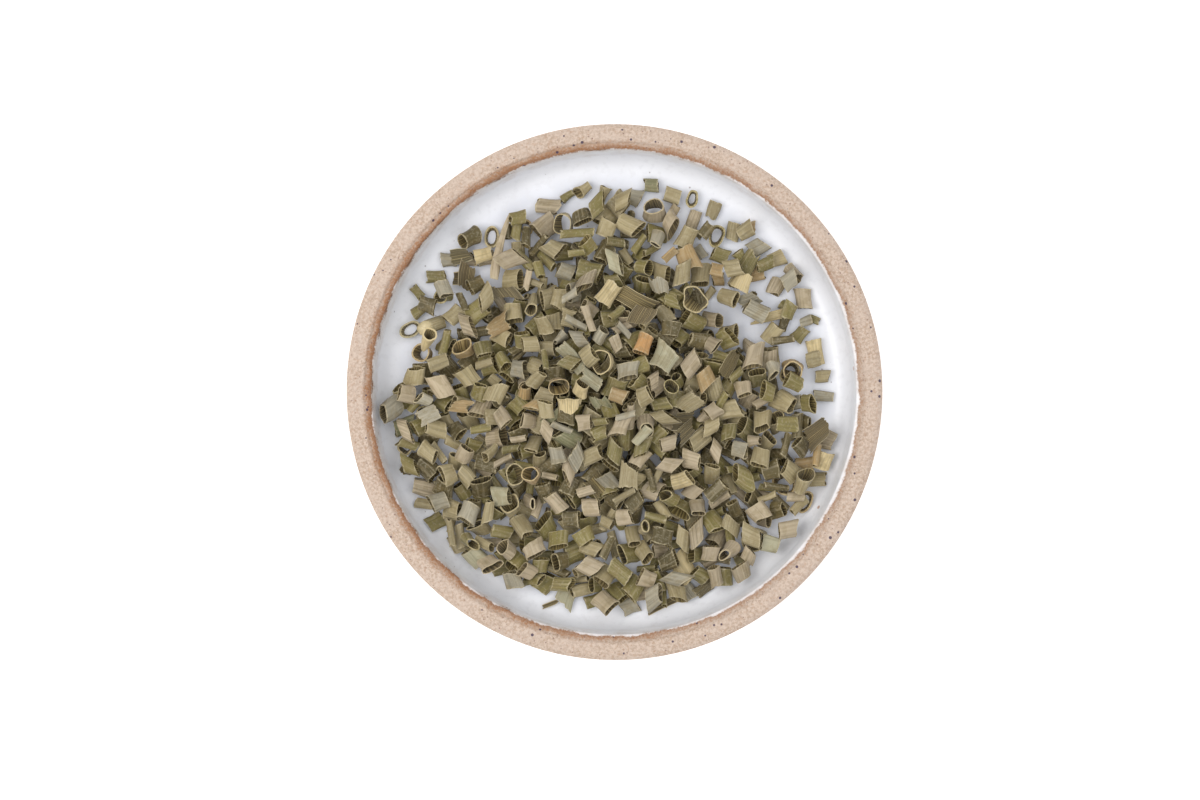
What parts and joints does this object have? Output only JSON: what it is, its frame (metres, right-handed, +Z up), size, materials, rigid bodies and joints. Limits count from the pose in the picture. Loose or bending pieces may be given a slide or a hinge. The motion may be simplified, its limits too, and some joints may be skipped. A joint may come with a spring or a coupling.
{
  "type": "dish of dried chopped chives",
  "caption": "Small round speckled stoneware dish with a raw clay rim and white glaze inside, holding a loose heap of dried, chopped chive cuttings.",
  "frame": {"origin": "centre of the dish's foot ring, on the surface it stands on", "axes": "+Z up, along the dish's turning axis; +X and +Y level, with the widest patch of bare glaze beside the heap between them"},
  "size_m": [0.104, 0.104, 0.0193],
  "materials": {
    "glazed_stoneware": "satin white glaze inside, raw speckled buff clay on the rim and outside",
    "chopped_chives": "dry, matte to satin, ribbed",
    "chive_leaf": "dry, satin, fine lengthwise ribs",
    "chive_leaf_olive": "dry, satin, fine lengthwise ribs",
    "chive_leaf_straw": "dry, papery, matte",
    "chive_leaf_tip": "dry, papery, matte",
    "chive_stalk": "dry, satin skin, pale pith at the cut"
  },
  "bodies": {
    "root": {"chive_heap": "chopped_chives", "leaf_tip": "chive_leaf_tip", "pressed_tube_01": "chive_leaf", "pressed_tube_02": "chive_leaf", "pressed_tube_03": "chive_leaf", "pressed_tube_04": "chive_leaf", "pressed_tube_05": "chive_leaf", "pressed_tube_06": "chive_leaf", "pressed_tube_07": "chive_leaf", "pressed_tube_08": "chive_leaf", "pressed_tube_09": "chive_leaf", "pressed_tube_10": "chive_leaf", "pressed_tube_11": "chive_leaf", "pressed_tube_12": "chive_leaf", "pressed_tube_13": "chive_leaf", "pressed_tube_14": "chive_leaf", "pressed_tube_15": "chive_leaf", "pressed_tube_16": "chive_leaf", "pressed_tube_17": "chive_leaf", "pressed_tube_18": "chive_leaf", "pressed_tube_19": "chive_leaf", "pressed_tube_20": "chive_leaf", "pressed_tube_21": "chive_leaf", "pressed_tube_22": "chive_leaf", "pressed_tube_23": "chive_leaf", "pressed_tube_24": "chive_leaf", "pressed_tube_25": "chive_leaf", "pressed_tube_26": "chive_leaf", "pressed_tube_27": "chive_leaf", "pressed_tube_28": "chive_leaf", "round_tube_01": "chive_leaf", "round_tube_02": "chive_leaf", "round_tube_03": "chive_leaf", "round_tube_04": "chive_leaf", "round_tube_05": "chive_leaf", "round_tube_06": "chive_leaf", "round_tube_07": "chive_leaf", "round_tube_08": "chive_leaf", "round_tube_09": "chive_leaf", "round_tube_10": "chive_leaf", "round_tube_11": "chive_leaf", "round_tube_12": "chive_leaf", "sliver_01": "chive_leaf_straw", "sliver_02": "chive_leaf_straw", "sliver_03": "chive_leaf_straw", "sliver_04": "chive_leaf_straw", "split_trough": "chive_leaf_straw", "stalk_slice": "chive_stalk", "standing_ring_01": "chive_leaf_olive", "standing_ring_02": "chive_leaf_olive", "standing_ring_03": "chive_leaf_olive", "standing_ring_04": "chive_leaf_olive", "standing_ring_05": "chive_leaf_olive", "standing_ring_06": "chive_leaf_olive", "standing_ring_07": "chive_leaf_olive", "standing_ring_08": "chive_leaf_olive", "standing_ring_09": "chive_leaf_olive", "standing_ring_10": "chive_leaf_olive", "standing_ring_11": "chive_leaf_olive", "stoneware_dish": "glazed_stoneware"}
  },
  "joints": []
}
